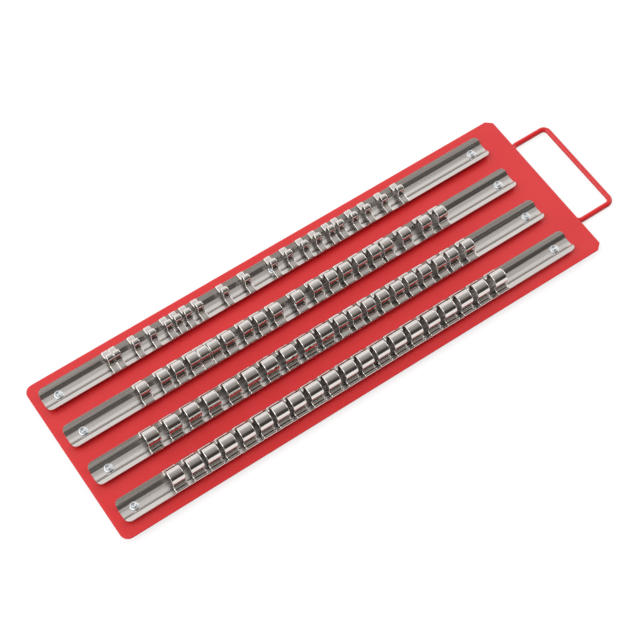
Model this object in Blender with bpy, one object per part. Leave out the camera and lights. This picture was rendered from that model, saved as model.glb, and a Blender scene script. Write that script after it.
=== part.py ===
"""Socket organizer tray: a flat coated steel plate with a wire carry handle at one end.

Four dished steel rails are riveted along the plate. Spring-steel clips wrap over both
edges of each rail and slide along it. Each clip rises to a sprung post that a socket's
square drive hole is pushed onto: quarter inch on the far rail, three eighths on the next,
half inch and three eighths on the third, and half inch on the near rail.

Metres, +Z up, +X along the rails towards the handle, -Y is the near side. The origin is
the middle of the bounding box, on the surface that the tray lies on.
"""

import math
from typing import NamedTuple

import bmesh
import bpy
from mathutils import Vector

# Plate
PLATE_LENGTH = 0.445
PLATE_WIDTH = 0.150
PLATE_THICKNESS = 0.0012
PLATE_ROUND_RADIUS = 0.007
PLATE_CUT_CORNER = 0.0047

# Carry handle, one closed loop of wire welded under the plate's right end
WIRE_DIAMETER = 0.0045
HANDLE_REACH = 0.0345
HANDLE_TUCK = 0.0011
HANDLE_SPAN = 0.0880
HANDLE_BEND_RADIUS = 0.0050

# Gap that stands for contact between two pieces fixed to each other
SEAT_GAP = 0.0003

# Rails
RAIL_EDGE_DISTANCE = 0.0198
RAIL_LEFT_INSET = 0.0070
RAIL_RIGHT_INSET = 0.0220
NEAR_RAIL_SHIFT = 0.0017
RAIL_THICKNESS = 0.0008
RAIL_HALF_WIDTH = 0.0100
RAIL_FLOOR_HALF = 0.0034
RAIL_CREST_HALF = 0.0062
RAIL_CREST_RISE = 0.0036
RAIL_EDGE_RISE = 0.0041
RAIL_FLOOR_BEND = 0.0020
RAIL_CREST_BEND = 0.0016
RAIL_CORNER_RADIUS = 0.0045

# Blind rivets, three down the floor of each rail
RIVET_LEFT_DISTANCE = 0.0133
RIVET_RIGHT_DISTANCE = 0.0124
RIVETS_PER_RAIL = 3
RIVET_HEAD_RADIUS = 0.0032
RIVET_HEAD_RISE = 0.0013
RIVET_RIM_RISE = 0.0005
RIVET_SHANK_RADIUS = 0.0016
RIVET_RECESS_RADIUS = 0.0010
RIVET_RECESS_DEPTH = 0.0009
RIVET_TAIL_RADIUS = 0.0023
RIVET_TAIL_LENGTH = 0.0022
RIVET_TAIL_END_SHARE = 0.55
RIVET_HOLE_CLEARANCE = 0.0003
RIVET_SEAT_BITE = 0.0001
CUT_OVERRUN = 0.002

# Clips, sizes that all three kinds share
CLIP_GAP = 0.00025
HOOK_DROP = 0.00105
HOOK_CURL = 0.0010
HOOK_RISE = 0.0006
FOOT_RISE = 0.00045
ROOT_SPREAD = 0.0009
WAIST_RISE = 0.0012
BULGE_HEIGHT_SHARE = 0.47
SHOULDER_INSET = 0.0011
SHOULDER_HEIGHT_SHARE = 0.82
CROWN_DROP = 0.0002

# Clips, sizes of each drive
QUARTER_DRIVE = 0.00635
QUARTER_STRIP_WIDTH = 0.0056
QUARTER_STRIP_THICKNESS = 0.0006
QUARTER_POST_RISE = 0.0083
QUARTER_WAIST_INSET = 0.0002
QUARTER_CROWN_SHARE = 0.34

THREE_EIGHTHS_DRIVE = 0.0097
THREE_EIGHTHS_STRIP_WIDTH = 0.0089
THREE_EIGHTHS_STRIP_THICKNESS = 0.0006
THREE_EIGHTHS_POST_RISE = 0.0100
THREE_EIGHTHS_WAIST_INSET = 0.0004
THREE_EIGHTHS_CROWN_SHARE = 0.40

HALF_DRIVE = 0.0128
HALF_STRIP_WIDTH = 0.0112
HALF_STRIP_THICKNESS = 0.0007
HALF_POST_RISE = 0.0110
HALF_WAIST_INSET = 0.0007
HALF_CROWN_SHARE = 0.52

# The least gap between two neighbouring clips
CLIP_SPACING = 0.0004

# Where each clip starts, as a share of its rail's free length: the length that is left
# when all of that rail's clips are pushed together against its left end
QUARTER_PLACE_SHARES = (
    0.192, 0.192, 0.229, 0.259, 0.287, 0.296, 0.306, 0.322, 0.381, 0.428,
    0.493, 0.522, 0.553, 0.574, 0.597, 0.607, 0.632, 0.654, 0.689, 0.722,
)
THREE_EIGHTHS_PLACE_SHARES = (
    0.269, 0.308, 0.324, 0.342, 0.342, 0.343, 0.359, 0.388, 0.406, 0.428,
    0.476, 0.509, 0.532, 0.549, 0.570, 0.590, 0.599, 0.636, 0.680, 0.707,
)
MIXED_PLACE_SHARES = (
    0.219, 0.252, 0.280, 0.307, 0.338, 0.365, 0.392, 0.419, 0.446, 0.468,
    0.492, 0.510, 0.529, 0.547, 0.569, 0.586, 0.606, 0.630, 0.644, 0.673,
)
HALF_PLACE_SHARES = (
    0.228, 0.254, 0.270, 0.287, 0.311, 0.333, 0.350, 0.368, 0.391, 0.414,
    0.437, 0.455, 0.472, 0.494, 0.515, 0.540, 0.564, 0.585, 0.609, 0.640,
)

# Every so many clips, counted from a rail's left end, one is pressed down onto the rail's
# wings and is one solid with the rail. The others slide.
PRESSED_CLIP_EVERY = 3
PRESSED_CLIP_BITE = 0.00015

# Facet counts, and the angle between two facets from which their edge shows
CORNER_STEPS = 5
BEND_STEPS = 3
WIRE_BEND_STEPS = 5
WIRE_RESOLUTION = 2
ROUND_SIDES = 8
SHARP_ANGLE = math.radians(50)

# Finishes: base colour, metallic, roughness
COAT_FINISH = ((0.67, 0.045, 0.05), 0.0, 0.38)
RAIL_FINISH = ((0.72, 0.70, 0.67), 1.0, 0.28)
CLIP_FINISH = ((0.78, 0.77, 0.75), 1.0, 0.18)

# Places that follow from the sizes above
RAIL_LENGTH = PLATE_LENGTH - RAIL_LEFT_INSET - RAIL_RIGHT_INSET
OVERALL_LENGTH = PLATE_LENGTH + HANDLE_REACH + WIRE_DIAMETER / 2
PLATE_LEFT = -OVERALL_LENGTH / 2
PLATE_UNDERSIDE = WIRE_DIAMETER + SEAT_GAP
PLATE_TOP = PLATE_UNDERSIDE + PLATE_THICKNESS
RAIL_FLOOR_TOP = SEAT_GAP + RAIL_THICKNESS


class ClipSize(NamedTuple):
    """The sizes that set one kind of clip apart from the others."""

    name: str
    drive: float
    strip_width: float
    strip_thickness: float
    post_rise: float
    waist_inset: float
    crown_share: float


QUARTER = ClipSize("quarter", QUARTER_DRIVE, QUARTER_STRIP_WIDTH, QUARTER_STRIP_THICKNESS,
                   QUARTER_POST_RISE, QUARTER_WAIST_INSET, QUARTER_CROWN_SHARE)
THREE_EIGHTHS = ClipSize("three_eighths", THREE_EIGHTHS_DRIVE, THREE_EIGHTHS_STRIP_WIDTH,
                         THREE_EIGHTHS_STRIP_THICKNESS, THREE_EIGHTHS_POST_RISE,
                         THREE_EIGHTHS_WAIST_INSET, THREE_EIGHTHS_CROWN_SHARE)
HALF = ClipSize("half", HALF_DRIVE, HALF_STRIP_WIDTH, HALF_STRIP_THICKNESS,
                HALF_POST_RISE, HALF_WAIST_INSET, HALF_CROWN_SHARE)


class Rail(NamedTuple):
    """One rail: its name, its shift along the plate, and the clips on it in order."""

    name: str
    shift: float
    clip_sizes: tuple
    place_shares: tuple


RAILS = (
    Rail("quarter", 0.0, (QUARTER,) * 20, QUARTER_PLACE_SHARES),
    Rail("three_eighths", 0.0, (THREE_EIGHTHS,) * 20, THREE_EIGHTHS_PLACE_SHARES),
    Rail("mixed", 0.0, (HALF,) * 10 + (THREE_EIGHTHS,) * 10, MIXED_PLACE_SHARES),
    Rail("half", NEAR_RAIL_SHIFT, (HALF,) * 20, HALF_PLACE_SHARES),
)


def clear_scene():
    """Remove whatever the scene holds, so that a rerun starts empty."""
    for obj in list(bpy.data.objects):
        bpy.data.objects.remove(obj, do_unlink=True)


def make_material(name, finish):
    """A plain Principled material in one colour."""
    colour, metallic, roughness = finish
    material = bpy.data.materials.new(name)
    material.use_nodes = True
    shader = material.node_tree.nodes["Principled BSDF"]
    shader.inputs["Base Color"].default_value = (*colour, 1.0)
    shader.inputs["Metallic"].default_value = metallic
    shader.inputs["Roughness"].default_value = roughness
    return material


def add_object(name, data, material, location):
    """Put a mesh or curve in the scene as one named piece."""
    obj = bpy.data.objects.new(name, data)
    bpy.context.scene.collection.objects.link(obj)
    data.materials.append(material)
    obj.location = location
    return obj


def finished_mesh(name, bm):
    """The mesh of a bmesh, shaded smooth but for its sharp edges."""
    bmesh.ops.recalc_face_normals(bm, faces=bm.faces)
    mesh = bpy.data.meshes.new(name)
    bm.to_mesh(mesh)
    bm.free()
    mesh.shade_smooth()
    mesh.set_sharp_from_angle(angle=SHARP_ANGLE)
    return mesh


def add_tool(name, bm, location):
    """A wire-frame helper mesh that cuts or joins another object and isn't a piece itself."""
    mesh = finished_mesh(name, bm)
    tool = bpy.data.objects.new(name, mesh)
    bpy.context.scene.collection.objects.link(tool)
    tool.location = location
    tool.hide_render = True
    tool.display_type = "WIRE"
    return tool


def combine(obj, tool, operation):
    """Cut a helper out of an object, or join it on."""
    boolean = obj.modifiers.new(tool.name, "BOOLEAN")
    boolean.operation = operation
    boolean.solver = "EXACT"
    boolean.object = tool


def rounded(points, radii, steps):
    """Replace each inner point of an open outline by an arc of its own radius."""
    path = [Vector(points[0])]
    for before, corner, after, radius in zip(points, points[1:], points[2:], radii):
        path.extend(arc_at(Vector(before), Vector(corner), Vector(after), radius, steps))
    path.append(Vector(points[-1]))
    return path


def arc_at(before, corner, after, radius, steps):
    """The points of an arc that rounds one corner, in the plane of its two sides."""
    into = (corner - before).normalized()
    out = (after - corner).normalized()
    turn = into.angle(out)
    setback = radius * math.tan(turn / 2)
    start = corner - into * setback
    side = (out - into * out.dot(into)).normalized()
    centre = start + side * radius
    points = []
    for step in range(steps + 1):
        angle = turn * step / steps
        points.append(centre - side * (radius * math.cos(angle)) + into * (radius * math.sin(angle)))
    return points


def prism(name, outline, height):
    """A flat blank: a closed outline of (x, y) points, raised from zero to a height."""
    bm = bmesh.new()
    ring = [bm.verts.new((point[0], point[1], 0.0)) for point in outline]
    base = bm.faces.new(ring)
    raised = bmesh.ops.extrude_face_region(bm, geom=[base])
    moved = [item for item in raised["geom"] if isinstance(item, bmesh.types.BMVert)]
    bmesh.ops.translate(bm, verts=moved, vec=(0.0, 0.0, height))
    return finished_mesh(name, bm)


def rivet_columns():
    """How far each rivet stands from the plate's left end, the same on every rail."""
    first = RAIL_LEFT_INSET + RIVET_LEFT_DISTANCE
    last = RAIL_LEFT_INSET + RAIL_LENGTH - RIVET_RIGHT_DISTANCE
    spacing = (last - first) / (RIVETS_PER_RAIL - 1)
    return [first + column * spacing for column in range(RIVETS_PER_RAIL)]


def rail_centre_y(row):
    """The centre line of a rail, counted from the far side of the plate."""
    outermost = PLATE_WIDTH / 2 - RAIL_EDGE_DISTANCE
    return outermost - row * outermost * 2 / (len(RAILS) - 1)


def rail_left(rail):
    """Where a rail's left end stands."""
    return PLATE_LEFT + RAIL_LEFT_INSET + rail.shift


def rail_place(rail, row):
    """The middle of a rail, on the plate's top."""
    return rail_left(rail) + RAIL_LENGTH / 2, rail_centre_y(row), PLATE_TOP


def hole_cutter():
    """A round pin for every rivet hole in the plate."""
    reach = PLATE_THICKNESS + CUT_OVERRUN * 2
    bm = bmesh.new()
    for row in range(len(RAILS)):
        for inset in rivet_columns():
            pin = bmesh.ops.create_cone(
                bm, cap_ends=True, segments=ROUND_SIDES, depth=reach,
                radius1=RIVET_SHANK_RADIUS + RIVET_HOLE_CLEARANCE,
                radius2=RIVET_SHANK_RADIUS + RIVET_HOLE_CLEARANCE)
            place = (PLATE_LEFT + inset, rail_centre_y(row), PLATE_UNDERSIDE - CUT_OVERRUN + reach / 2)
            bmesh.ops.translate(bm, verts=pin["verts"], vec=place)
    return add_tool("rivet_holes", bm, (0.0, 0.0, 0.0))


def plate_outline():
    """The plate from above: round corners on the left, corners cut off on the right."""
    far = PLATE_WIDTH / 2
    right = PLATE_LENGTH
    middle = PLATE_LENGTH / 2
    near_left = arc_at(Vector((middle, -far)), Vector((0.0, -far)), Vector((0.0, 0.0)),
                       PLATE_ROUND_RADIUS, CORNER_STEPS)
    far_left = arc_at(Vector((0.0, 0.0)), Vector((0.0, far)), Vector((middle, far)),
                      PLATE_ROUND_RADIUS, CORNER_STEPS)
    cut = [(right - PLATE_CUT_CORNER, far), (right, far - PLATE_CUT_CORNER),
           (right, PLATE_CUT_CORNER - far), (right - PLATE_CUT_CORNER, -far)]
    return near_left + far_left + cut


def build_plate(coat):
    """The flat tray plate, with a hole for every rivet."""
    mesh = prism("tray_plate", plate_outline(), PLATE_THICKNESS)
    plate = add_object("tray_plate", mesh, coat, (PLATE_LEFT, 0.0, PLATE_UNDERSIDE))
    combine(plate, hole_cutter(), "DIFFERENCE")
    return plate


def build_handle(coat):
    """The carry handle: round wire bent into a closed loop, its inner bar under the plate."""
    left = PLATE_LENGTH - HANDLE_TUCK
    right = PLATE_LENGTH + HANDLE_REACH
    half = HANDLE_SPAN / 2
    middle = (left + right) / 2
    corners = [(right, -half), (right, half), (left, half), (left, -half)]
    path = []
    for index, corner in enumerate(corners):
        before = Vector(corners[index - 1])
        after = Vector(corners[(index + 1) % len(corners)])
        path += arc_at(before, Vector(corner), after, HANDLE_BEND_RADIUS, WIRE_BEND_STEPS)
    curve = bpy.data.curves.new("carry_handle", "CURVE")
    curve.dimensions = "3D"
    curve.bevel_depth = WIRE_DIAMETER / 2
    curve.bevel_resolution = WIRE_RESOLUTION
    spline = curve.splines.new("POLY")
    spline.points.add(len(path) - 1)
    for point, place in zip(spline.points, path):
        point.co = (place.x - middle, place.y, 0.0, 1.0)
    spline.use_cyclic_u = True
    return add_object("carry_handle", curve, coat, (PLATE_LEFT + middle, 0.0, WIRE_DIAMETER / 2))


def rail_section():
    """The top surface of a rail across its width: dished floor, sloped walls, two wings.

    Each point is (distance from the centre line, height above the plate).
    """
    floor = RAIL_FLOOR_TOP
    half = [(0.0, floor), (RAIL_FLOOR_HALF, floor), (RAIL_CREST_HALF, floor + RAIL_CREST_RISE),
            (RAIL_HALF_WIDTH, floor + RAIL_EDGE_RISE)]
    right = rounded(half, (RAIL_FLOOR_BEND, RAIL_CREST_BEND), BEND_STEPS)[1:]
    left = [Vector((-point.x, point.y)) for point in reversed(right)]
    return left + right


def build_rail(rail, row, steel):
    """One rail, with the rivets that hold it down and the clips that are pressed onto it.

    It is a strip with round corners, folded to its section and given its thickness.
    """
    section = rail_section()
    folded = [0.0]
    for start, end in zip(section, section[1:]):
        folded.append(folded[-1] + (end - start).length)
    flat_half = folded[-1] / 2
    half_length = RAIL_LENGTH / 2
    outline = []
    for sx, sy in ((1, -1), (1, 1), (-1, 1), (-1, -1)):
        corner = Vector((sx * half_length, sy * flat_half))
        before = Vector((sx * half_length, 0.0)) if sx == sy else Vector((0.0, sy * flat_half))
        after = Vector((0.0, sy * flat_half)) if sx == sy else Vector((sx * half_length, 0.0))
        outline += arc_at(before, corner, after, RAIL_CORNER_RADIUS, CORNER_STEPS)
    bm = bmesh.new()
    bm.faces.new([bm.verts.new((point.x, point.y, 0.0)) for point in outline])
    for distance in folded[1:-1]:
        bmesh.ops.bisect_plane(bm, geom=bm.verts[:] + bm.edges[:] + bm.faces[:],
                               plane_co=(0.0, distance - flat_half, 0.0), plane_no=(0.0, 1.0, 0.0))
    for vert in bm.verts:
        across, height = folded_place(vert.co.y + flat_half, folded, section)
        vert.co.y = across
        vert.co.z = height
    mesh = bpy.data.meshes.new(rail.name + "_rail")
    bm.to_mesh(mesh)
    bm.free()
    obj = add_object(rail.name + "_rail", mesh, steel, rail_place(rail, row))
    sheet = obj.modifiers.new("sheet", "SOLIDIFY")
    sheet.thickness = RAIL_THICKNESS
    sheet.offset = -1.0
    sheet.use_even_offset = True
    combine(obj, rivet_set(rail, row), "UNION")
    combine(obj, pressed_clips(rail, row), "UNION")
    return obj


def folded_place(distance, folded, section):
    """Where a point of the flat blank ends up once the blank is folded to the section."""
    for index in range(len(folded) - 1):
        if distance <= folded[index + 1] or index == len(folded) - 2:
            share = (distance - folded[index]) / (folded[index + 1] - folded[index])
            point = section[index].lerp(section[index + 1], share)
            return point.x, point.y


def rivet_profile():
    """Half of a set blind rivet, (radius, height), from the recess down to its tail.

    Height zero is the underside of the head, which sits into the rail's floor.
    """
    grip = RAIL_FLOOR_TOP - RIVET_SEAT_BITE + PLATE_THICKNESS + SEAT_GAP
    return [
        (0.0, RIVET_HEAD_RISE - RIVET_RECESS_DEPTH),
        (RIVET_RECESS_RADIUS, RIVET_HEAD_RISE - RIVET_RECESS_DEPTH),
        (RIVET_RECESS_RADIUS, RIVET_HEAD_RISE),
        (RIVET_HEAD_RADIUS, RIVET_RIM_RISE),
        (RIVET_HEAD_RADIUS, 0.0),
        (RIVET_SHANK_RADIUS, 0.0),
        (RIVET_SHANK_RADIUS, -grip),
        (RIVET_TAIL_RADIUS, -grip - RIVET_TAIL_LENGTH / 3),
        (RIVET_TAIL_RADIUS * RIVET_TAIL_END_SHARE, -grip - RIVET_TAIL_LENGTH),
        (0.0, -grip - RIVET_TAIL_LENGTH),
    ]


def rivet_set(rail, row):
    """The rivets of one rail, turned about their own axes."""
    profile = rivet_profile()
    bm = bmesh.new()
    for inset in rivet_columns():
        turned = [bm.verts.new((radius + inset, 0.0, height)) for radius, height in profile]
        edges = [bm.edges.new(pair) for pair in zip(turned, turned[1:])]
        bmesh.ops.spin(bm, geom=turned + edges, cent=(inset, 0.0, 0.0),
                       axis=(0.0, 0.0, 1.0), angle=math.tau, steps=ROUND_SIDES, use_merge=True)
    bmesh.ops.remove_doubles(bm, verts=bm.verts, dist=SEAT_GAP / 10)
    seat = PLATE_TOP + RAIL_FLOOR_TOP - RIVET_SEAT_BITE
    return add_tool(rail.name + "_rivets", bm, (PLATE_LEFT, rail_centre_y(row), seat))


def clip_outline(size):
    """The outer surface of one side of a clip, from its hook's end up to its crown.

    Each point is (distance from the rail's centre line, height above the plate). The hook
    wraps under the rail's wing, the foot lies over it, and the post rises from the foot:
    drawn in at its waist, swelling to the drive's width, and round at its shoulders.
    """
    sheet = size.strip_thickness
    edge_top = RAIL_FLOOR_TOP + RAIL_EDGE_RISE
    outside = RAIL_HALF_WIDTH + CLIP_GAP + sheet
    foot = edge_top + CLIP_GAP + sheet
    hook = edge_top - HOOK_DROP - sheet
    root = foot + FOOT_RISE
    half = size.drive / 2
    return [
        (outside - HOOK_CURL, hook - HOOK_RISE),
        (outside, hook),
        (outside, foot),
        (half - size.waist_inset + ROOT_SPREAD, root),
        (half - size.waist_inset, root + WAIST_RISE),
        (half, root + size.post_rise * BULGE_HEIGHT_SHARE),
        (half - SHOULDER_INSET, root + size.post_rise * SHOULDER_HEIGHT_SHARE),
        (half * size.crown_share, root + size.post_rise - CROWN_DROP),
    ]


def inset_path(path, distance):
    """A path drawn parallel to an open path, to its right, with mitred bends."""
    inset = []
    for index, point in enumerate(path):
        sides = []
        if index > 0:
            sides.append((point - path[index - 1]).normalized())
        if index < len(path) - 1:
            sides.append((path[index + 1] - point).normalized())
        normals = [Vector((side.y, -side.x)) for side in sides]
        mitre = sum(normals, Vector((0.0, 0.0))).normalized()
        inset.append(point + mitre * (distance / mitre.dot(normals[0])))
    return inset


def clip_section(size):
    """The closed section of a clip's bent strip, near hook to far hook and back inside."""
    far_side = [Vector(point) for point in clip_outline(size)]
    near_side = [Vector((-point.x, point.y)) for point in far_side]
    outer = near_side + far_side[::-1]
    inner = inset_path(outer, size.strip_thickness)
    return outer, inner


def add_strip(bm, size, left):
    """Add one clip to a mesh: its section carried along the rail by the strip's width."""
    outer, inner = clip_section(size)
    ends = []
    for along in (left, left + size.strip_width):
        ends.append(([bm.verts.new((along, point.x, point.y)) for point in outer],
                     [bm.verts.new((along, point.x, point.y)) for point in inner]))
    (outer_a, inner_a), (outer_b, inner_b) = ends
    last = len(outer) - 1
    for index in range(last):
        bm.faces.new((outer_a[index], outer_a[index + 1], outer_b[index + 1], outer_b[index]))
        bm.faces.new((inner_a[index], inner_b[index], inner_b[index + 1], inner_a[index + 1]))
        bm.faces.new((outer_a[index], inner_a[index], inner_a[index + 1], outer_a[index + 1]))
        bm.faces.new((outer_b[index], outer_b[index + 1], inner_b[index + 1], inner_b[index]))
    bm.faces.new((outer_a[0], outer_b[0], inner_b[0], inner_a[0]))
    bm.faces.new((outer_a[last], inner_a[last], inner_b[last], outer_b[last]))


def clip_places(rail):
    """How far each clip's left side stands from its rail's left end."""
    spacings = CLIP_SPACING * (len(rail.clip_sizes) - 1)
    free = RAIL_LENGTH - spacings - sum(size.strip_width for size in rail.clip_sizes)
    places = []
    packed = 0.0
    for size, share in zip(rail.clip_sizes, rail.place_shares):
        places.append(packed + free * share)
        packed += size.strip_width + CLIP_SPACING
    return places


def pressed_clips(rail, row):
    """The clips that are one solid with their rail, pressed down onto its wings."""
    places = clip_places(rail)
    bm = bmesh.new()
    for index in range(0, len(places), PRESSED_CLIP_EVERY):
        add_strip(bm, rail.clip_sizes[index], places[index] - RAIL_LENGTH / 2)
    bmesh.ops.translate(bm, verts=bm.verts, vec=(0.0, 0.0, -CLIP_GAP - PRESSED_CLIP_BITE))
    return add_tool(rail.name + "_pressed_clips", bm, rail_place(rail, row))


def build_clips(rail, row, spring_steel):
    """The clips that slide along one rail, numbered from its left end."""
    across, height = rail_place(rail, row)[1:]
    for index, left in enumerate(clip_places(rail)):
        if index % PRESSED_CLIP_EVERY == 0:
            continue
        size = rail.clip_sizes[index]
        bm = bmesh.new()
        add_strip(bm, size, -size.strip_width / 2)
        name = "%s_clip_%02d" % (rail.name, index + 1)
        along = rail_left(rail) + left + size.strip_width / 2
        add_object(name, finished_mesh(name, bm), spring_steel, (along, across, height))


def main():
    """Build the whole tray."""
    clear_scene()
    coat = make_material("red_powder_coat", COAT_FINISH)
    rail_steel = make_material("bright_rail_steel", RAIL_FINISH)
    spring_steel = make_material("polished_spring_steel", CLIP_FINISH)
    build_plate(coat)
    build_handle(coat)
    for row, rail in enumerate(RAILS):
        build_rail(rail, row, rail_steel)
        build_clips(rail, row, spring_steel)


main()
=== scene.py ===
import math
import random

import bmesh
import bpy
from mathutils import Matrix, Vector


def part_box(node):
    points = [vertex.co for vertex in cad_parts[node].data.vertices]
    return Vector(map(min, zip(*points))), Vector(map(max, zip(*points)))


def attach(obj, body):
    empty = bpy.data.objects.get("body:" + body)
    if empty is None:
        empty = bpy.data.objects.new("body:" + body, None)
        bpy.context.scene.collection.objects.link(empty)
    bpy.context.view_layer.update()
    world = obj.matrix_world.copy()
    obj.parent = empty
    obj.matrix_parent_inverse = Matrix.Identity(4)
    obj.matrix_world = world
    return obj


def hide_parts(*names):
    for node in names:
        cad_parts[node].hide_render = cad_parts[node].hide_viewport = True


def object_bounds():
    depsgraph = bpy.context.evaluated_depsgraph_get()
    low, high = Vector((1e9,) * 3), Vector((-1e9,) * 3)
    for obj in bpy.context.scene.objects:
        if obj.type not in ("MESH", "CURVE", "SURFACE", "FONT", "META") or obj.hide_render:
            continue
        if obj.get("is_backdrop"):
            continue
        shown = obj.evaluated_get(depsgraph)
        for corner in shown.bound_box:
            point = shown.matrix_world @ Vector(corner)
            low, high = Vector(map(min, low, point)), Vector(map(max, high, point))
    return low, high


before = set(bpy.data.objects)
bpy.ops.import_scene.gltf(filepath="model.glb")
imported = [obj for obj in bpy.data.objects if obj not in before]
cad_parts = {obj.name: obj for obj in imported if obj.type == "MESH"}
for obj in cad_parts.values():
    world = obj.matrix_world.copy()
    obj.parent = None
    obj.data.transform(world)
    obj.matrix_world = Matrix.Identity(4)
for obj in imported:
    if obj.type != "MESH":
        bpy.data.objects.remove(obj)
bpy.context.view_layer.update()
scene = bpy.context.scene

# Camera. A long lens stands above the near left of the tray and looks down along its rails,
# in the place that the plate's four corners and straight edges give.
lens = bpy.data.cameras.new("view_of_tray")
lens.sensor_width = 36.0
lens.lens = 96.61
lens.clip_start = 0.05
lens.clip_end = 200.0
camera = bpy.data.objects.new("view_of_tray", lens)
scene.collection.objects.link(camera)
camera_place = Vector((-0.381485, -0.53663, 1.17703))
camera_right = Vector((0.82603, -0.56362, -0.00190))
camera_up = Vector((0.49448, 0.72307, 0.48235))
camera_back = Vector((-0.27049, -0.39938, 0.87598))
camera_turn = Matrix((camera_right, camera_up, camera_back)).transposed().to_4x4()
camera.matrix_world = Matrix.Translation(camera_place) @ camera_turn
scene.camera = camera
scene.view_settings.view_transform = "Standard"

# Studio. A white paper floor under a soft light tent. The tent is bright behind the tray and
# at both ends of it, dimmer overhead, and dark on the side that the camera stands on, above
# a bright strip low down.
FLOOR_WIDTH = 80.0
PAPER_TONE = (0.35, 0.35, 0.35)
PAPER_SHADED_TONE = (0.3, 0.3, 0.3)
PAPER_GLOW = 0.74
TENT_MIDDLE = (
    (0, 1.35), (11, 1.28), (20, 1.0), (29, 0.97), (42, 1.2), (50, 1.08), (56, 0.86),
    (61, 0.68), (66, 0.6), (72, 0.53), (78, 0.46), (92, 0.36), (104, 0.3), (112, 0.21),
    (120, 0.11), (130, 0.066), (150, 0.046), (162, 0.05), (169, 0.9), (174, 1.3), (180, 1.4),
)
TENT_ENDS = (
    (0, 0.3), (25, 0.7), (42, 2.3), (66, 2.3), (72, 1.5), (80, 2.3), (92, 3.2), (103, 3.0),
    (112, 1.4), (130, 0.55), (180, 0.4),
)
TENT_MIDDLE_FULL = 1.4
TENT_ENDS_FULL = 4.2
RIGHT_END_FROM = 0.54
RIGHT_END_TO = 0.68
LEFT_END_FROM = 0.08
LEFT_END_TO = 0.24
DIM_LEVEL = 0.6
DIM_RANGE = 0.48
DIM_RED_MORE = 0.12
DIM_BLUE_LESS = 0.09
TENT_BLUE = 0.99


def new_material(name):
    """An empty node material: its tree and its output."""
    material = bpy.data.materials.new(name)
    material.use_nodes = True
    tree = material.node_tree
    tree.nodes.clear()
    return material, tree, tree.nodes.new("ShaderNodeOutputMaterial")


def maths(tree, operation, first, second=0.5):
    """One Math node on sockets or numbers."""
    node = tree.nodes.new("ShaderNodeMath")
    node.operation = operation
    for socket, value in zip(node.inputs, (first, second)):
        if isinstance(value, (int, float)):
            socket.default_value = value
        else:
            tree.links.new(value, socket)
    return node.outputs[0]


def light_by_turn(tree, share, steps, full):
    """Light for each turn round the rails, from 0 at the back over the roof to 180."""
    ramp = tree.nodes.new("ShaderNodeValToRGB")
    tree.links.new(share, ramp.inputs[0])
    stops = ramp.color_ramp.elements
    for i, (degrees, level) in enumerate(steps):
        stop = stops[i] if i < 2 else stops.new(1.0)
        stop.position = degrees / 180
        warmth = min(max((DIM_LEVEL - level) / DIM_RANGE, 0.0), 1.0)
        grey = level / full
        red = grey * (1 + DIM_RED_MORE * warmth)
        blue = grey * (TENT_BLUE - DIM_BLUE_LESS * warmth)
        stop.color = (red, grey, blue, 1)
    background = tree.nodes.new("ShaderNodeBackground")
    tree.links.new(ramp.outputs["Color"], background.inputs["Color"])
    background.inputs["Strength"].default_value = full
    return background.outputs[0]


def fade(tree, value, start, end, low=0.0):
    """A soft step from low to 1 between two values."""
    node = tree.nodes.new("ShaderNodeMapRange")
    node.interpolation_type = "SMOOTHSTEP"
    node.inputs["From Min"].default_value = start
    node.inputs["From Max"].default_value = end
    node.inputs["To Min"].default_value = low
    tree.links.new(value, node.inputs["Value"])
    return node.outputs["Result"]


def tent_light():
    """The world: brightness by direction, measured round the axis of the rails."""
    world = bpy.data.worlds.new("light_tent")
    scene.world = world
    world.use_nodes = True
    tree = world.node_tree
    tree.nodes.clear()
    way = tree.nodes.new("ShaderNodeTexCoord")
    parts = tree.nodes.new("ShaderNodeSeparateXYZ")
    tree.links.new(way.outputs["Generated"], parts.inputs[0])
    turn_up = maths(tree, "ARCTAN2", parts.outputs["Z"], parts.outputs["Y"])
    share = maths(tree, "DIVIDE", turn_up, math.pi)
    middle = light_by_turn(tree, share, TENT_MIDDLE, TENT_MIDDLE_FULL)
    ends = light_by_turn(tree, share, TENT_ENDS, TENT_ENDS_FULL)
    rightwards = parts.outputs["X"]
    leftwards = maths(tree, "MULTIPLY", rightwards, -1.0)
    endwards = maths(tree, "MAXIMUM", fade(tree, rightwards, RIGHT_END_FROM, RIGHT_END_TO),
                     fade(tree, leftwards, LEFT_END_FROM, LEFT_END_TO))
    mix = tree.nodes.new("ShaderNodeMixShader")
    tree.links.new(endwards, mix.inputs[0])
    tree.links.new(middle, mix.inputs[1])
    tree.links.new(ends, mix.inputs[2])
    out = tree.nodes.new("ShaderNodeOutputWorld")
    tree.links.new(mix.outputs[0], out.inputs["Surface"])


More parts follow.
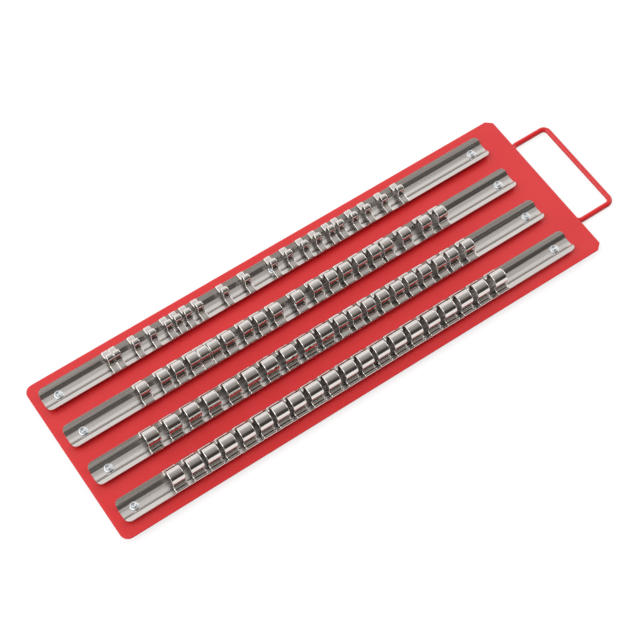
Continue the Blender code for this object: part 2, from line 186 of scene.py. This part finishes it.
def white_paper():
    """White where the camera or the metal sees it, and darker where the tray shades it."""
    material, tree, out = new_material("white_paper")
    rays = tree.nodes.new("ShaderNodeLightPath")
    seen = maths(tree, "MAXIMUM", rays.outputs["Is Camera Ray"], rays.outputs["Is Glossy Ray"])
    seen = maths(tree, "MAXIMUM", seen, rays.outputs["Is Transmission Ray"])
    paper = tree.nodes.new("ShaderNodeBsdfDiffuse")
    paper.inputs["Color"].default_value = (*PAPER_TONE, 1)
    shaded = tree.nodes.new("ShaderNodeBsdfDiffuse")
    shaded.inputs["Color"].default_value = (*PAPER_SHADED_TONE, 1)
    glow = tree.nodes.new("ShaderNodeEmission")
    glow.inputs["Color"].default_value = (1, 1, 1, 1)
    glow.inputs["Strength"].default_value = PAPER_GLOW
    both = tree.nodes.new("ShaderNodeAddShader")
    tree.links.new(shaded.outputs[0], both.inputs[0])
    tree.links.new(glow.outputs[0], both.inputs[1])
    pick = tree.nodes.new("ShaderNodeMixShader")
    tree.links.new(seen, pick.inputs[0])
    tree.links.new(paper.outputs[0], pick.inputs[1])
    tree.links.new(both.outputs[0], pick.inputs[2])
    tree.links.new(pick.outputs[0], out.inputs["Surface"])
    return material


tent_light()
bpy.ops.mesh.primitive_plane_add(size=FLOOR_WIDTH, location=(0, 0, 0))
floor = bpy.context.object
floor.name = "paper_floor"
floor.data.materials.append(white_paper())
floor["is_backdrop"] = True

# Tray plate. One flat steel sheet, sheared, with rounded left corners and the right corners
# cut off, punched for the rivets and powder coated red all over after the handle is welded on.
PLATE_LENGTH = 0.445
PLATE_SHEET = 0.0012
PLATE_ROUND = 0.007
PLATE_ROUND_STEPS = 9
PLATE_CUT_ALONG = 0.0052
PLATE_CUT_ACROSS = 0.0045
PLATE_CUT_SOFT = 0.0012
PLATE_CUT_STEPS = 3
COAT_EDGE = 0.0004
COAT_EDGE_STEPS = 4
COAT_DEEP_RED = (0.60, 0.014, 0.017)
COAT_LIGHT_RED = (0.635, 0.019, 0.022)
PLATE_ROUGHNESS = (0.33, 0.43)
NOISE_LOW = 0.3
NOISE_HIGH = 0.7
plate_low, plate_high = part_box("tray_plate")
PLATE_LEFT = plate_low.x
PLATE_TOP = plate_high.z


def corner_arc(before, corner, after, radius, steps):
    """Points that round one corner of an outline with that radius."""
    before, corner, after = Vector(before), Vector(corner), Vector(after)
    back_way = (before - corner).normalized()
    on_way = (after - corner).normalized()
    half = back_way.angle(on_way) / 2
    reach = radius / math.tan(half)
    centre = corner + (back_way + on_way).normalized() * (radius / math.sin(half))
    start = corner + back_way * reach - centre
    end = corner + on_way * reach - centre
    sweep = start.angle(end)
    points = []
    for i in range(steps + 1):
        t = i / steps
        a = math.sin((1 - t) * sweep) / math.sin(sweep)
        b = math.sin(t * sweep) / math.sin(sweep)
        points.append(centre + start * a + end * b)
    return points


def new_piece(name, mesh, material, body="tray", crease=35, place=(0, 0, 0), turn=0.0):
    """A shaded piece that rides on a body, with the given finish where its mesh has none."""
    mesh.validate()
    piece = bpy.data.objects.new(name, mesh)
    scene.collection.objects.link(piece)
    piece.location = place
    piece.rotation_euler.z = turn
    if not mesh.materials:
        mesh.materials.append(material)
    for face in mesh.polygons:
        face.use_smooth = True
    mesh.set_sharp_from_angle(angle=math.radians(crease))
    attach(piece, body)
    return piece


def mesh_from(name, points, faces):
    """A mesh with its faces turned outwards."""
    mesh = bpy.data.meshes.new(name)
    mesh.from_pydata([tuple(p) for p in points], [], faces)
    shape = bmesh.new()
    shape.from_mesh(mesh)
    bmesh.ops.recalc_face_normals(shape, faces=shape.faces)
    shape.to_mesh(mesh)
    shape.free()
    return mesh


def ring_faces(rings, count):
    """Faces over rings of points, each joined to the next, with both ends closed."""
    faces = []
    for r in range(rings - 1):
        for k in range(count):
            m = (k + 1) % count
            faces.append((r * count + k, r * count + m, (r + 1) * count + m, (r + 1) * count + k))
    faces.append(tuple(range(count)))
    faces.append(tuple(range((rings - 1) * count, rings * count)))
    return faces


def new_finish(name, metallic):
    """A material of one skin: its tree, the piece's own space and the skin to be filled in."""
    material, tree, out = new_material(name)
    space = tree.nodes.new("ShaderNodeTexCoord").outputs["Object"]
    skin = tree.nodes.new("ShaderNodeBsdfPrincipled")
    skin.inputs["Metallic"].default_value = metallic
    tree.links.new(skin.outputs[0], out.inputs["Surface"])
    return material, tree, space, skin


def grained(tree, space, scale, detail=2.0):
    """A noise over the piece, stretched by a scale along each axis."""
    fit = tree.nodes.new("ShaderNodeMapping")
    fit.inputs["Scale"].default_value = scale
    tree.links.new(space, fit.inputs["Vector"])
    noise = tree.nodes.new("ShaderNodeTexNoise")
    noise.inputs["Scale"].default_value = 1.0
    noise.inputs["Detail"].default_value = detail
    tree.links.new(fit.outputs[0], noise.inputs["Vector"])
    return noise.outputs["Fac"]


def spread(tree, value, low, high):
    """Brings a noise from its middle range to the range low to high."""
    node = tree.nodes.new("ShaderNodeMapRange")
    node.inputs["From Min"].default_value = NOISE_LOW
    node.inputs["From Max"].default_value = NOISE_HIGH
    node.inputs["To Min"].default_value = low
    node.inputs["To Max"].default_value = high
    tree.links.new(value, node.inputs["Value"])
    return node.outputs["Result"]


def bumped(tree, height, distance, strength, under=None):
    """A Bump node on a height, over another bump where there is one."""
    node = tree.nodes.new("ShaderNodeBump")
    node.inputs["Strength"].default_value = strength
    node.inputs["Distance"].default_value = distance
    tree.links.new(height, node.inputs["Height"])
    if under is not None:
        tree.links.new(under, node.inputs["Normal"])
    return node.outputs[0]


def two_tones(tree, noise, first, second):
    """A colour that wanders between two tones with a noise."""
    mix = tree.nodes.new("ShaderNodeMix")
    mix.data_type = "RGBA"
    tree.links.new(spread(tree, noise, 0, 1), mix.inputs["Factor"])
    mix.inputs[6].default_value = (*first, 1)
    mix.inputs[7].default_value = (*second, 1)
    return mix.outputs[2]


def red_coat(name, roughness):
    """Powder coat: even red, a fine orange peel, a slow unevenness of gloss."""
    material, tree, space, skin = new_finish(name, 0.0)
    slow = grained(tree, space, (9, 14, 9), detail=3)
    tone = two_tones(tree, slow, COAT_DEEP_RED, COAT_LIGHT_RED)
    tree.links.new(tone, skin.inputs["Base Color"])
    fine = grained(tree, space, (60, 60, 60))
    tree.links.new(spread(tree, fine, *roughness), skin.inputs["Roughness"])
    peel = grained(tree, space, (900, 900, 900))
    waves = grained(tree, space, (12, 25, 12), detail=1)
    relief = bumped(tree, waves, distance=0.0009, strength=0.35)
    relief = bumped(tree, peel, distance=0.00004, strength=0.5, under=relief)
    tree.links.new(relief, skin.inputs["Normal"])
    return material


def plate_outline():
    """The plate's outline from above, corner by corner, anticlockwise."""
    left, right = PLATE_LEFT, PLATE_LEFT + PLATE_LENGTH
    near, far = plate_low.y, plate_high.y
    along, across = PLATE_CUT_ALONG, PLATE_CUT_ACROSS
    corners = [
        ((left, near), PLATE_ROUND, PLATE_ROUND_STEPS),
        ((right - along, near), PLATE_CUT_SOFT, PLATE_CUT_STEPS),
        ((right, near + across), PLATE_CUT_SOFT, PLATE_CUT_STEPS),
        ((right, far - across), PLATE_CUT_SOFT, PLATE_CUT_STEPS),
        ((right - along, far), PLATE_CUT_SOFT, PLATE_CUT_STEPS),
        ((left, far), PLATE_ROUND, PLATE_ROUND_STEPS),
    ]
    points = []
    for i, (corner, radius, steps) in enumerate(corners):
        before, after = corners[i - 1][0], corners[(i + 1) % len(corners)][0]
        points += corner_arc(before, corner, after, radius, steps)
    return points


def plate_mesh():
    """The outline as a sheet, its edges rounded over by the coat."""
    outline = plate_outline()
    rings = []
    for side in (-1, 1):
        for i in range(COAT_EDGE_STEPS + 1):
            angle = math.pi / 2 * i / COAT_EDGE_STEPS
            if side < 0:
                angle = math.pi / 2 - angle
            inwards = COAT_EDGE * (1 - math.cos(angle))
            rise = side * (PLATE_SHEET / 2 - COAT_EDGE + COAT_EDGE * math.sin(angle))
            rings.append((inwards, PLATE_TOP - PLATE_SHEET / 2 + rise))
    points = []
    count = len(outline)
    for inwards, height in rings:
        for i, p in enumerate(outline):
            tangent = (outline[(i + 1) % count] - outline[i - 1]).normalized()
            q = p + Vector((-tangent.y, tangent.x)) * inwards
            points.append((q.x, q.y, height))
    return mesh_from("plate_sheet", points, ring_faces(len(rings), count))


coat = red_coat("red_powder_coat_finish", PLATE_ROUGHNESS)
plate = new_piece("plate_sheet", plate_mesh(), coat)
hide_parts("tray_plate")

# Carry handle. Round steel wire bent to a closed loop and butt welded, with its fourth side
# under the plate's right edge, where two weld beads hold it. It is coated with the plate, and
# the powder flows out smoother on the wire.
WIRE_RADIUS = 0.00225
WIRE_SIDES = 20
WIRE_ROUGHNESS = (0.16, 0.22)
HANDLE_BEND = 0.005
HANDLE_BEND_STEPS = 12
HANDLE_STRAIGHT_PARTS = 6
BEAD_PLACES = (("near", -0.030), ("far", 0.030))
BEAD_LENGTH = 0.016
BEAD_RADIUS = 0.0016
BEAD_FLATNESS = 0.8
BEAD_TUCK = 0.0004
BEAD_END_POWER = 0.35
BEAD_RIPPLE = 0.10
BEAD_RIPPLE_TURN = 46
BEAD_RINGS = 25
BEAD_SIDES = 10
handle_low, handle_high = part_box("carry_handle")
wire_height = handle_low.z + WIRE_RADIUS


def handle_path():
    """The wire's centre line, with straights cut into short lengths between the bends."""
    left, right = handle_low.x + WIRE_RADIUS, handle_high.x - WIRE_RADIUS
    near, far = handle_low.y + WIRE_RADIUS, handle_high.y - WIRE_RADIUS
    square = ((left, near), (right, near), (right, far), (left, far))
    corners = [(x, y, wire_height) for x, y in square]
    bends = []
    for i, corner in enumerate(corners):
        before, after = corners[i - 1], corners[(i + 1) % 4]
        bends.append(corner_arc(before, corner, after, HANDLE_BEND, HANDLE_BEND_STEPS))
    path = []
    for i, bend in enumerate(bends):
        end = bends[(i + 1) % 4][0]
        path += bend
        path += [bend[-1].lerp(end, k / HANDLE_STRAIGHT_PARTS)
                 for k in range(1, HANDLE_STRAIGHT_PARTS)]
    return path


def handle_mesh():
    """The round wire along its closed path."""
    path = handle_path()
    points, faces = [], []
    count = len(path)
    for i, p in enumerate(path):
        tangent = (path[(i + 1) % count] - path[i - 1]).normalized()
        outwards = Vector((tangent.y, -tangent.x, 0))
        for k in range(WIRE_SIDES):
            angle = 2 * math.pi * k / WIRE_SIDES
            up = Vector((0, 0, WIRE_RADIUS * math.sin(angle)))
            points.append(p + outwards * (WIRE_RADIUS * math.cos(angle)) + up)
    for i in range(count):
        a, b = i * WIRE_SIDES, ((i + 1) % count) * WIRE_SIDES
        for k in range(WIRE_SIDES):
            m = (k + 1) % WIRE_SIDES
            faces.append((a + k, b + k, b + m, a + m))
    return mesh_from("handle_wire", points, faces)


wire_coat = red_coat("red_wire_coat_finish", WIRE_ROUGHNESS)
handle = new_piece("handle_wire", handle_mesh(), wire_coat)
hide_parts("carry_handle")


def bead_mesh(name, centre_y):
    """A weld bead in the corner between the wire and the underside of the plate."""
    points = []
    corner = Vector((handle_low.x + BEAD_TUCK, 0, PLATE_TOP - PLATE_SHEET))
    for i in range(BEAD_RINGS):
        t = i / (BEAD_RINGS - 1)
        y = centre_y + (t - 0.5) * BEAD_LENGTH
        swell = math.sin(math.pi * min(max(t, 0.02), 0.98)) ** BEAD_END_POWER
        size = BEAD_RADIUS * swell * (1 + BEAD_RIPPLE * math.sin(t * BEAD_RIPPLE_TURN))
        for k in range(BEAD_SIDES):
            angle = 2 * math.pi * k / BEAD_SIDES
            rise = size * BEAD_FLATNESS * math.sin(angle)
            points.append((corner.x + size * math.cos(angle), y, corner.z + rise - BEAD_TUCK))
    return mesh_from(name, points, ring_faces(BEAD_RINGS, BEAD_SIDES))


for end, bead_y in BEAD_PLACES:
    name = "handle_bead_" + end
    new_piece(name, bead_mesh(name, bead_y), wire_coat, crease=70)

# Rails. Bright steel strip, rolled to a dished floor between two sloped walls that carry on
# as wings, and cut off with rounded corners. A line of painted shade darkens the near bend.
# Three blind rivets hold each rail down on the plate.
RAILS = ("quarter", "three_eighths", "mixed", "half")
RAIL_SHEET = 0.0008
RAIL_ROUND = 0.0045
RAIL_SEAT = 0.00005
RAIL_EDGE_SOFT = 0.0003
RAIL_EDGE_STEPS = 3
RAIL_BEND_STEPS = 6
RAIL_BEND_HOLD = 0.0002
RAIL_STATIONS = 30
# Half of the top face, each point across and up in mm, with the radius of the bend there
RAIL_SECTION = (
    ((0.0, 0.80), 12.0),
    ((3.25, 1.10), 1.4),
    ((6.30, 3.35), 1.6),
    ((10.25, 4.85), 0),
)
RAIL_ACROSS = 2 * RAIL_SECTION[-1][0][0]
WING_COLUMNS = (0.35, 0.6, 0.72, 0.82, 0.9, 0.96, 0.99)
RAIL_DARK_TONE = (0.60, 0.565, 0.542)
RAIL_LIGHT_TONE = (0.685, 0.645, 0.62)
RAIL_ROUGHNESS = (0.24, 0.31)
# Painted shade: a darker band of the rail's colour along its near bend, standing in for the shade
# in the crease
PAINTED_SHADE_LINE_PLACE = 5.6
PAINTED_SHADE_LINE_REACH = 0.9
PAINTED_SHADE_LINE_LEVEL = 0.38


def rail_columns():
    """Points over the rail's top face from the near edge to the far edge, with normals."""
    far_half = [(Vector(p) / 1000, radius / 1000) for p, radius in RAIL_SECTION]
    near_half = [(Vector((-p.x, p.y)), radius) for p, radius in far_half[:0:-1]]
    corners = near_half + far_half
    whole = [corners[0][0]]
    for i in range(1, len(corners) - 1):
        before, (corner, radius), after = corners[i - 1][0], corners[i], corners[i + 1][0]
        bend = corner_arc(before, corner, after, radius, RAIL_BEND_STEPS)
        whole.append(bend[0] + (before - corner).normalized() * RAIL_BEND_HOLD)
        whole += bend
        whole.append(bend[-1] + (after - corner).normalized() * RAIL_BEND_HOLD)
    whole.append(corners[-1][0])
    whole[-1:-1] = [whole[-2].lerp(whole[-1], t) for t in WING_COLUMNS]
    whole[1:1] = [whole[1].lerp(whole[0], t) for t in WING_COLUMNS[::-1]]
    columns, run = [], 0.0
    for i, p in enumerate(whole):
        before, after = whole[max(i - 1, 0)], whole[min(i + 1, len(whole) - 1)]
        tangent = (after - before).normalized()
        if i:
            run += (p - whole[i - 1]).length
        columns.append((p, Vector((-tangent.y, tangent.x)), run))
    return [(p, normal, run_to - run / 2) for p, normal, run_to in columns], run


def rail_mesh(name, left, right, centre_y):
    """The folded strip: each column runs the length of the rail, less the corner's round."""
    columns, blank = rail_columns()
    base = PLATE_TOP + RAIL_SEAT
    points, faces = [], []
    for p, normal, across in columns:
        past = max(0.0, abs(across) - (blank / 2 - RAIL_ROUND))
        cut = RAIL_ROUND - math.sqrt(max(RAIL_ROUND ** 2 - past ** 2, 0.0))
        under = p - normal * RAIL_SHEET
        for k in range(RAIL_STATIONS):
            x = left + cut + (right - left - 2 * cut) * k / (RAIL_STATIONS - 1)
            points.append((x, centre_y + p.x, base + p.y))
            points.append((x, centre_y + under.x, base + under.y))
    row = 2 * RAIL_STATIONS
    for j in range(len(columns) - 1):
        for k in range(RAIL_STATIONS - 1):
            a, b = j * row + 2 * k, (j + 1) * row + 2 * k
            faces.append((a, a + 2, b + 2, b))
            faces.append((a + 1, b + 1, b + 3, a + 3))
        for k in (0, RAIL_STATIONS - 1):
            a, b = j * row + 2 * k, (j + 1) * row + 2 * k
            faces.append((a, b, b + 1, a + 1))
    for j in (0, len(columns) - 1):
        for k in range(RAIL_STATIONS - 1):
            a = j * row + 2 * k
            faces.append((a, a + 1, a + 3, a + 2))
    return mesh_from(name, points, faces)


def rolled_steel():
    """Bright rolled strip: fine lines along it, and a line of painted shade along its near bend.
    """
    material, tree, space, skin = new_finish("bright_rail_steel_finish", 1.0)
    lines = grained(tree, space, (3, 900, 900))
    broad = grained(tree, space, (2, 160, 160), detail=1)
    tone = two_tones(tree, lines, RAIL_DARK_TONE, RAIL_LIGHT_TONE)
    # Painted shade: the colour is scaled down in a band along the near bend, found by the place
    # across the rail
    parts = tree.nodes.new("ShaderNodeSeparateXYZ")
    tree.links.new(tree.nodes.new("ShaderNodeTexCoord").outputs["Generated"], parts.inputs[0])
    farwards = maths(tree, "SUBTRACT", parts.outputs["Y"], 0.5)
    off_painted_shade = maths(tree, "ADD", farwards, PAINTED_SHADE_LINE_PLACE / RAIL_ACROSS)
    off_painted_shade = maths(tree, "ABSOLUTE", off_painted_shade)
    # bright is the painted shade's scale on the colour, lowest on the near bend
    bright = fade(tree, off_painted_shade, 0.0, PAINTED_SHADE_LINE_REACH / RAIL_ACROSS, PAINTED_SHADE_LINE_LEVEL)
    shade = tree.nodes.new("ShaderNodeVectorMath")
    shade.operation = "SCALE"
    tree.links.new(tone, shade.inputs[0])
    tree.links.new(bright, shade.inputs["Scale"])
    tree.links.new(shade.outputs[0], skin.inputs["Base Color"])
    tree.links.new(spread(tree, lines, *RAIL_ROUGHNESS), skin.inputs["Roughness"])
    relief = bumped(tree, broad, distance=0.00008, strength=0.3)
    tree.links.new(relief, skin.inputs["Normal"])
    return material


rail_finish = rolled_steel()
rail_left, rail_y = {}, {}
for name in RAILS:
    low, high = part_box(name + "_rail")
    rail_left[name], rail_y[name] = low.x, (low.y + high.y) / 2
    mesh = rail_mesh(name + "_rolled_rail", low.x, high.x, rail_y[name])
    rail = new_piece(name + "_rolled_rail", mesh, rail_finish, crease=40)
    edge = rail.modifiers.new("sheared_edge", "BEVEL")
    edge.width = RAIL_EDGE_SOFT
    edge.segments = RAIL_EDGE_STEPS
    edge.limit_method = "ANGLE"
    edge.angle_limit = math.radians(60)
    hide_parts(name + "_rail")

# Blind rivets, three to a rail. Zinc-plated steel, with a flat flange, the broken stub of the
# pulled mandrel in a groove at its middle, and a tail that swells under the plate.
RIVET_COLUMNS = (("left", 0.0203), ("middle", 0.21545), ("right", 0.4106))
RIVET_STAND = 0.0005
RIVET_SIDES = 32
RIVET_ANY_TURN = 6.28
# From the mandrel's stub over the flange and down to the tail, each radius and height in mm
RIVET_PROFILE = (
    (0.0, 0.42), (0.32, 0.44), (0.5, 0.6), (0.68, 0.86), (0.9, 0.97), (1.15, 0.95), (1.4, 0.8),
    (1.58, 0.5), (1.68, 0.2), (1.8, 0.1), (2.0, 0.12), (2.14, 0.32), (2.26, 0.6), (2.42, 0.7),
    (2.75, 0.71), (3.15, 0.66), (3.4, 0.56), (3.56, 0.38), (3.6, 0.2), (3.54, 0.06),
    (3.3, -0.02), (2.6, -0.35), (1.6, -0.45), (1.6, -2.4), (2.2, -2.45), (2.45, -2.8),
    (2.45, -3.4), (2.15, -4.0), (1.75, -4.35), (1.5, -4.5), (1.2, -4.55), (0.6, -4.6),
    (0.0, -4.6),
)
ZINC_DARK_TONE = (0.50, 0.53, 0.56)
ZINC_LIGHT_TONE = (0.68, 0.70, 0.72)
ZINC_ROUGHNESS = (0.2, 0.3)


def turned_mesh(name, profile, sides):
    """A round piece turned from a profile of radius and height, in mm."""
    points, faces = [], []
    starts = []
    for radius, height in profile:
        starts.append(len(points))
        if radius == 0:
            points.append((0, 0, height / 1000))
            continue
        for k in range(sides):
            angle = 2 * math.pi * k / sides
            x, y = radius * math.cos(angle) / 1000, radius * math.sin(angle) / 1000
            points.append((x, y, height / 1000))
    for i in range(len(profile) - 1):
        a, b = starts[i], starts[i + 1]
        for k in range(sides):
            m = (k + 1) % sides
            if profile[i][0] == 0:
                faces.append((a, b + k, b + m))
            elif profile[i + 1][0] == 0:
                faces.append((a + k, a + m, b))
            else:
                faces.append((a + k, a + m, b + m, b + k))
    return mesh_from(name, points, faces)


def zinc_plate():
    """Zinc plating: bright, slightly blue, with a soft spangle and the marks of the tool."""
    material, tree, space, skin = new_finish("zinc_rivet_finish", 1.0)
    patches = grained(tree, space, (700, 700, 700), detail=3)
    tone = two_tones(tree, patches, ZINC_DARK_TONE, ZINC_LIGHT_TONE)
    tree.links.new(tone, skin.inputs["Base Color"])
    tree.links.new(spread(tree, patches, *ZINC_ROUGHNESS), skin.inputs["Roughness"])
    relief = bumped(tree, patches, distance=0.00006, strength=0.4)
    tree.links.new(relief, skin.inputs["Normal"])
    return material


rivet_finish = zinc_plate()
rivet_mesh = turned_mesh("blind_rivet", RIVET_PROFILE, RIVET_SIDES)
rivet_height = PLATE_TOP + RAIL_SEAT + RAIL_SECTION[0][0][1] / 1000 + RIVET_STAND
for name in RAILS:
    for where, column in RIVET_COLUMNS:
        new_piece(name + "_rivet_" + where, rivet_mesh, rivet_finish,
                  crease=50, place=(PLATE_LEFT + column, rail_y[name], rivet_height),
                  turn=random.Random(name + where).uniform(0, RIVET_ANY_TURN))

# Spring clips, twenty to a rail. Polished spring steel strip, hooked under both wings of the
# rail, whose middle stands up as a post that grips the square hole of a socket. They slide,
# apart from every third one, which is pressed down tight and keeps its place.
CLIPS_PER_RAIL = 20
HALF_ON_MIXED_RAIL = 10
PRESSED_EVERY = 3
LOOSE_DEGREES = 0.2
OUTLINE_STEPS = 4
EDGE_STEPS = 5
# How far the strip's rolled edges reach in and down, in mm
EDGE_WIDE = 0.8
EDGE_DEEP = 0.28
EDGE_HOLD = 0.06
INSIDE_SKIN = 0.02
# The strip's width and thickness, and its outline across and up from the crown to a hook's
# end, all in mm
OUTLINES = {
    "quarter": (5.6, 0.60, (
        (0, 14.8), (0.89, 14.69), (1.71, 14.33), (2.4, 13.7), (2.84, 12.75), (2.97, 11.9),
        (3.04, 11.0), (3.1, 9.9), (3.17, 8.5), (3.3, 7.4), (3.68, 6.65), (4.5, 6.3),
        (6.5, 6.08), (9.3, 5.9), (10.25, 5.68), (10.66, 5.0), (10.6, 4.1), (10.22, 3.4),
        (9.7, 3.12))),
    "three_eighths": (8.9, 0.60, (
        (0, 16.5), (0.97, 16.48), (1.89, 16.32), (2.74, 15.99), (3.52, 15.57), (4.22, 14.96),
        (4.54, 14.5), (4.77, 13.95), (4.91, 13.2), (4.97, 12.3), (4.98, 11.0), (4.98, 9.8),
        (5.02, 8.4), (5.2, 7.3), (5.7, 6.55), (6.5, 6.22), (8.0, 6.08), (9.3, 6.0),
        (10.2, 5.76), (10.66, 5.0), (10.6, 4.1), (10.22, 3.4), (9.7, 3.12))),
    "half": (11.2, 0.60, (
        (0, 17.5), (1.7, 17.33), (3.3, 16.75), (4.7, 15.7), (5.75, 14.35), (6.3, 13.0),
        (6.52, 11.6), (6.3, 9.8), (5.75, 7.9), (5.8, 6.8), (6.15, 5.95), (6.9, 5.56),
        (8.1, 5.46), (8.5, 5.62), (8.85, 5.96), (9.25, 6.1), (9.7, 6.06), (10.25, 5.82),
        (10.68, 5.15), (10.6, 4.1), (10.22, 3.4), (9.7, 3.12))),
}
# How far each pressed clip's left edge stands from the left end of its rail, in mm
PRESSED_PLACES = {
    "quarter": (56.91, 94.77, 126.70, 180.86, 235.91, 269.91, 312.22),
    "three_eighths": (61.98, 106.70, 138.51, 182.31, 234.17, 275.44, 324.07),
    "mixed": (45.42, 98.47, 150.90, 201.46, 244.31, 284.04, 323.97),
    "half": (42.04, 87.72, 134.14, 180.74, 226.24, 273.58, 321.10),
}
SPRING_DARK_TONE = (0.655, 0.615, 0.59)
SPRING_LIGHT_TONE = (0.745, 0.70, 0.672)
SPRING_ROUGHNESS = (0.08, 0.14)
# Painted shade: the strip's inside takes a dark brown tone for the shade that falls inside a clip
INSIDE_PAINTED_SHADE_DARK_TONE = (0.20, 0.175, 0.155)
INSIDE_PAINTED_SHADE_LIGHT_TONE = (0.30, 0.27, 0.245)
INSIDE_ROUGHNESS = (0.3, 0.42)


def smooth_line(points, steps):
    """A smooth curve through the points, which mirror at the first one."""
    points = [Vector(p) for p in points]
    first = Vector((-points[1].x, points[1].y))
    line = [points[0]]
    guides = [first] + points + [points[-1] * 2 - points[-2]]
    for i in range(1, len(guides) - 2):
        a, b, c, d = guides[i - 1:i + 3]
        ka, kb, kc = (max((q - p).length, 1e-6) ** 0.5 for p, q in ((a, b), (b, c), (c, d)))
        slope_b = (b - a) / ka - (c - a) / (ka + kb) + (c - b) / kb
        slope_c = (c - b) / kb - (d - b) / (kb + kc) + (d - c) / kc
        for k in range(1, steps + 1):
            t = k / steps
            h1 = 2 * t ** 3 - 3 * t ** 2 + 1
            h2 = t ** 3 - 2 * t ** 2 + t
            h3 = -2 * t ** 3 + 3 * t ** 2
            h4 = t ** 3 - t ** 2
            line.append(b * h1 + slope_b * kb * h2 + c * h3 + slope_c * kb * h4)
    return line


def strip_ring(half, sheet):
    """The strip's section, flat with its two edges rolled over. Each point is across, down."""
    turns = [math.pi / (2 * EDGE_STEPS) * k for k in range(EDGE_STEPS + 1)]
    roll = [(half - EDGE_WIDE * (1 - math.sin(t)), EDGE_DEEP * (1 - math.cos(t)))
            for t in turns]
    under = [(x, sheet - d) for x, d in roll]
    flat = half - EDGE_WIDE - EDGE_HOLD
    right = [(flat, 0)] + roll + under[::-1] + [(flat, sheet)]
    return right + [(-x, d) for x, d in right[::-1]]


def clip_mesh(name, strip, sheet, outline):
    """The strip along its outline, with rolled edges and square-cut hook ends."""
    half_line = smooth_line(outline, OUTLINE_STEPS)
    line = [Vector((-p.x, p.y)) for p in half_line[:0:-1]] + half_line
    ring = strip_ring(strip / 2, sheet)
    points = []
    for i, p in enumerate(line):
        before, after = line[max(i - 1, 0)], line[min(i + 1, len(line) - 1)]
        tangent = (after - before).normalized()
        normal = Vector((-tangent.y, tangent.x))
        for x, d in ring:
            q = p - normal * d
            points.append((x / 1000, q.x / 1000, q.y / 1000))
    count = len(ring)
    mesh = mesh_from(name, points, ring_faces(len(line), count))
    mesh.materials.append(clip_finish)
    mesh.materials.append(clip_painted_shade_inside)
    # The inside faces of the strip get the painted shade material
    inner = {k for k, (x, d) in enumerate(ring) if d > sheet - INSIDE_SKIN}
    for face in mesh.polygons:
        if len(face.vertices) == 4 and all(v % count in inner for v in face.vertices):
            face.material_index = 1
    return mesh


def spring_steel():
    """Polished spring strip: fine lines along the strip, a different cut of them on each clip."""
    material, tree, space, skin = new_finish("polished_spring_steel_finish", 1.0)
    shift = tree.nodes.new("ShaderNodeVectorMath")
    shift.operation = "ADD"
    tree.links.new(space, shift.inputs[0])
    which = tree.nodes.new("ShaderNodeObjectInfo").outputs["Random"]
    tree.links.new(which, shift.inputs[1])
    lines = grained(tree, shift.outputs[0], (1900, 60, 60), detail=3)
    cloud = grained(tree, shift.outputs[0], (160, 160, 160))
    tone = two_tones(tree, lines, SPRING_DARK_TONE, SPRING_LIGHT_TONE)
    tree.links.new(tone, skin.inputs["Base Color"])
    tree.links.new(spread(tree, lines, *SPRING_ROUGHNESS), skin.inputs["Roughness"])
    relief = bumped(tree, cloud, distance=0.00008, strength=0.2)
    tree.links.new(relief, skin.inputs["Normal"])
    return material


def painted_shade_inside():
    """The inside of a clip: dull, with a dark brown colour that is painted shade for the shade
    inside the strip.
    """
    material, tree, space, skin = new_finish("painted_shade_strip_inside_finish", 1.0)
    cloud = grained(tree, space, (300, 300, 300), detail=3)
    tone = two_tones(tree, cloud, INSIDE_PAINTED_SHADE_DARK_TONE, INSIDE_PAINTED_SHADE_LIGHT_TONE)
    tree.links.new(tone, skin.inputs["Base Color"])
    tree.links.new(spread(tree, cloud, *INSIDE_ROUGHNESS), skin.inputs["Roughness"])
    return material


def clip_kind(rail, number):
    """Which drive a clip is for: the mixed rail starts with ten half inch clips."""
    if rail == "mixed":
        return "half" if number <= HALF_ON_MIXED_RAIL else "three_eighths"
    return rail


clip_finish = spring_steel()
clip_painted_shade_inside = painted_shade_inside()
clip_meshes = {kind: clip_mesh(kind + "_clip_strip", *shape) for kind, shape in OUTLINES.items()}
looseness = random.Random(11)
for rail in RAILS:
    for number in range(1, CLIPS_PER_RAIL + 1):
        kind = clip_kind(rail, number)
        node = "%s_clip_%02d" % (rail, number)
        pressed = number % PRESSED_EVERY == 1
        if pressed:
            left_edge = PRESSED_PLACES[rail][number // PRESSED_EVERY]
            centre_x = rail_left[rail] + (left_edge + OUTLINES[kind][0] / 2) / 1000
        else:
            low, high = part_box(node)
            centre_x = (low.x + high.x) / 2
        clip = new_piece("%s_spring_%02d" % (rail, number), clip_meshes[kind], clip_finish,
                         body="tray" if pressed else node, crease=50,
                         place=(centre_x, rail_y[rail], PLATE_TOP),
                         turn=math.radians(looseness.uniform(-LOOSE_DEGREES, LOOSE_DEGREES)))
        if not pressed:
            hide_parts(node)

# Sizes. The box round everything shown, the paper floor left out.
low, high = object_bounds()
